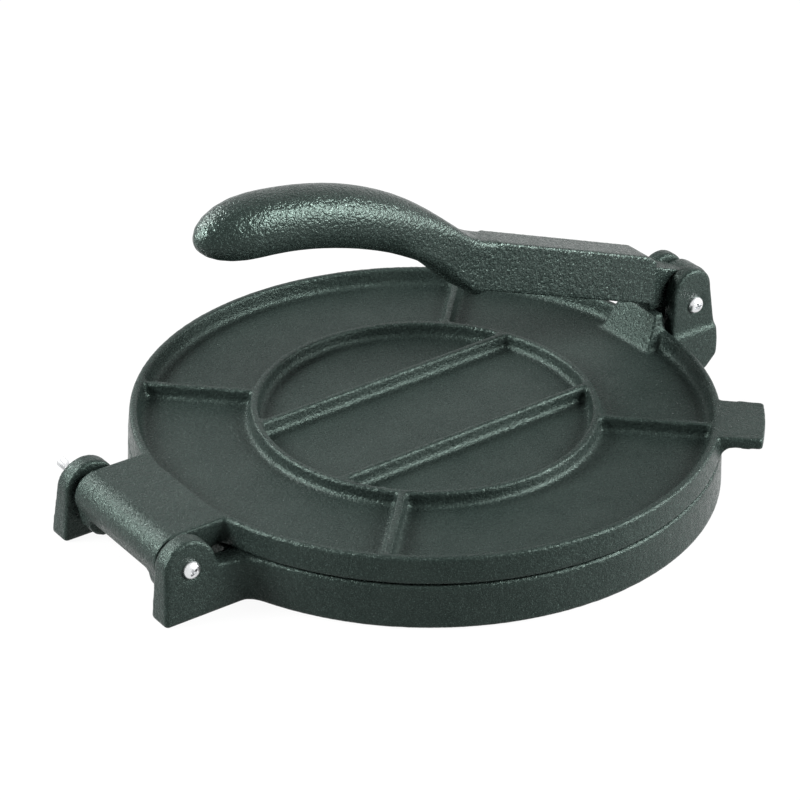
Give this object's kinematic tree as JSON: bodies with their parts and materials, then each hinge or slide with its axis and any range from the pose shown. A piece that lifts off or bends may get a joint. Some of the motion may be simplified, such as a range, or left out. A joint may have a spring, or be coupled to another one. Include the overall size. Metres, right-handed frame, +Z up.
{
  "type": "tortilla press",
  "caption": "Cast iron tortilla press: a hinged round upper plate closes on a round lower plate, pressed by a long lever with a cam eye",
  "frame": {"origin": "middle of the round lower plate, on the table", "axes": "+X points from the plate hinge to the lever pivot, +Z is up, and Y runs along both hinge axes"},
  "size_m": [0.3166, 0.2576, 0.1529],
  "materials": {
    "base_iron": "satin seasoned casting",
    "plate_iron": "satin seasoned casting",
    "lever_iron": "satin seasoned casting",
    "bolt_steel": "zinc plated",
    "nut_steel": "zinc plated"
  },
  "bodies": {
    "base": {"base_plate": "base_iron", "hinge_bolt": "bolt_steel", "hinge_wing_nut": "nut_steel", "lever_bolt": "bolt_steel", "lever_wing_nut": "nut_steel"},
    "plate": {"upper_plate": "plate_iron"},
    "handle": {"lever": "lever_iron"}
  },
  "joints": [
    {"name": "lever_pivot", "type": "hinge", "parent": "base", "child": "handle", "pos_m": [0.1415, 0, 0.041], "axis": [0, 1, 0], "range_deg": [0, 150]},
    {"name": "plate_hinge", "type": "hinge", "parent": "base", "child": "plate", "pos_m": [-0.1463, 0, 0.022], "axis": [0, -1, 0], "range_deg": [0, 110]}
  ],
  "couplings": [
    {"joint": "plate_hinge", "follows": "lever_pivot", "ratio": 0.055}
  ]
}
